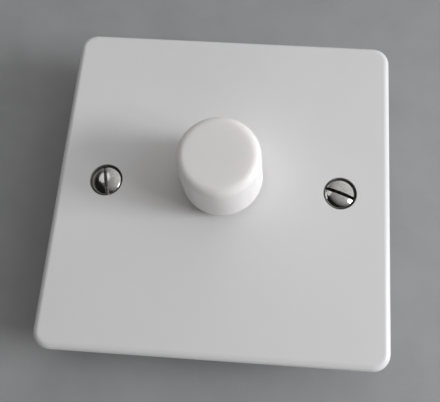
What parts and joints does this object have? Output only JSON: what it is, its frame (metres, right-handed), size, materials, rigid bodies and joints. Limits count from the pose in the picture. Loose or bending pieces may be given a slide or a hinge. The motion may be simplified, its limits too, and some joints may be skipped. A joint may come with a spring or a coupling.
{
  "type": "rotary dimmer switch",
  "caption": "Square white wall dimmer with a plain round knob that turns to dim and pushes to switch, slotted fixing screws and a slim rear module.",
  "frame": {"origin": "on the wall plane at the rear rim of the faceplate, midway between the two fixing screws", "axes": "+Z out of the face along the knob, +Y to the top edge as mounted, +X to the right seen from the front"},
  "size_m": [0.086, 0.086, 0.0362],
  "materials": {
    "plate_plastic": "smooth, slightly glossy moulding",
    "knob_plastic": "smooth, satin moulding, slightly warmer than the plate",
    "screw_nickel": "bright nickel plate",
    "clear_nylon": "natural nylon",
    "case_plastic": "black moulding, fine spark texture",
    "zinc_steel": "zinc-plated steel",
    "spring_steel": "spring steel",
    "shaft_metal": "turned aluminium",
    "brass": "turned brass",
    "terminal_steel": "passivated steel",
    "contact_metal": "silver-plated brass",
    "aluminium": "brushed sheet",
    "phenolic": "brown laminate",
    "carbon": "printed carbon",
    "black_moulding": "glass-filled moulding",
    "plunger_plastic": "natural acetal",
    "board": "green solder mask",
    "semiconductor": "black epoxy with tinned tab",
    "pad": "grey silicone",
    "core": "painted powder core",
    "copper": "enamelled copper",
    "capacitor_case": "yellow box",
    "capacitor_dip": "dipped film",
    "resistor": "lacquered body",
    "diac_glass": "glass body",
    "fuse_ceramic": "white ceramic tube",
    "trimmer_plastic": "blue body",
    "trimmer_white": "white rotor",
    "terminal_plastic": "light grey moulding"
  },
  "bodies": {
    "module": {"faceplate": "plate_plastic", "fixing_screws": "screw_nickel", "screw_retainers": "clear_nylon", "rear_case": "case_plastic", "case_screws": "zinc_steel", "triac_screw": "zinc_steel", "pot_front": "zinc_steel", "pot_can": "zinc_steel", "lock_washer": "zinc_steel", "plunger_spring": "spring_steel", "bushing": "brass", "bushing_nut": "brass", "terminal_cages": "brass", "terminal_screws": "terminal_steel", "fixed_contacts": "contact_metal", "collector_ring": "contact_metal", "pot_pins": "contact_metal", "fuse_clips": "contact_metal", "fuse_caps": "contact_metal", "heat_sink": "aluminium", "track_disc": "phenolic", "resistive_track": "carbon", "switch_housing": "black_moulding", "circuit_board": "board", "triac": "semiconductor", "thermal_pad": "pad", "choke_core": "core", "choke_winding": "copper", "suppression_capacitor": "capacitor_case", "timing_capacitor": "capacitor_dip", "resistors": "resistor", "diac": "diac_glass", "fuse_tube": "fuse_ceramic", "trimmer_base": "trimmer_plastic", "terminal_block": "terminal_plastic"},
    "rotor_group": {"rotor": "black_moulding", "wiper": "contact_metal"},
    "spindle_group": {"shaft": "shaft_metal", "knob": "knob_plastic", "knob_clip": "spring_steel"},
    "plunger_group": {"switch_plunger": "plunger_plastic", "moving_contact": "contact_metal"},
    "trimmer_group": {"trimmer_rotor": "trimmer_white"}
  },
  "joints": [
    {"name": "knob_turn", "type": "hinge", "parent": "module", "child": "rotor_group", "pos_m": [0, 0.002, 0], "axis": [0, 0, 1], "range_deg": [-145, 145]},
    {"name": "knob_push", "type": "slide", "parent": "rotor_group", "child": "spindle_group", "axis": [0, 0, -1], "range_m": [0, 0.0015], "stiffness_N_per_m": 1200, "springref_m": -0.001},
    {"name": "plunger_push", "type": "slide", "parent": "module", "child": "plunger_group", "axis": [0, 0, -1], "range_m": [0, 0.0015], "deforming": ["plunger_spring"]},
    {"name": "trimmer_turn", "type": "hinge", "parent": "module", "child": "trimmer_group", "pos_m": [0.0199, 0.0016, 0], "axis": [0, 0, -1], "range_deg": [-135, 135]}
  ],
  "couplings": [
    {"joint": "plunger_push", "follows": "knob_push", "ratio": 1}
  ]
}
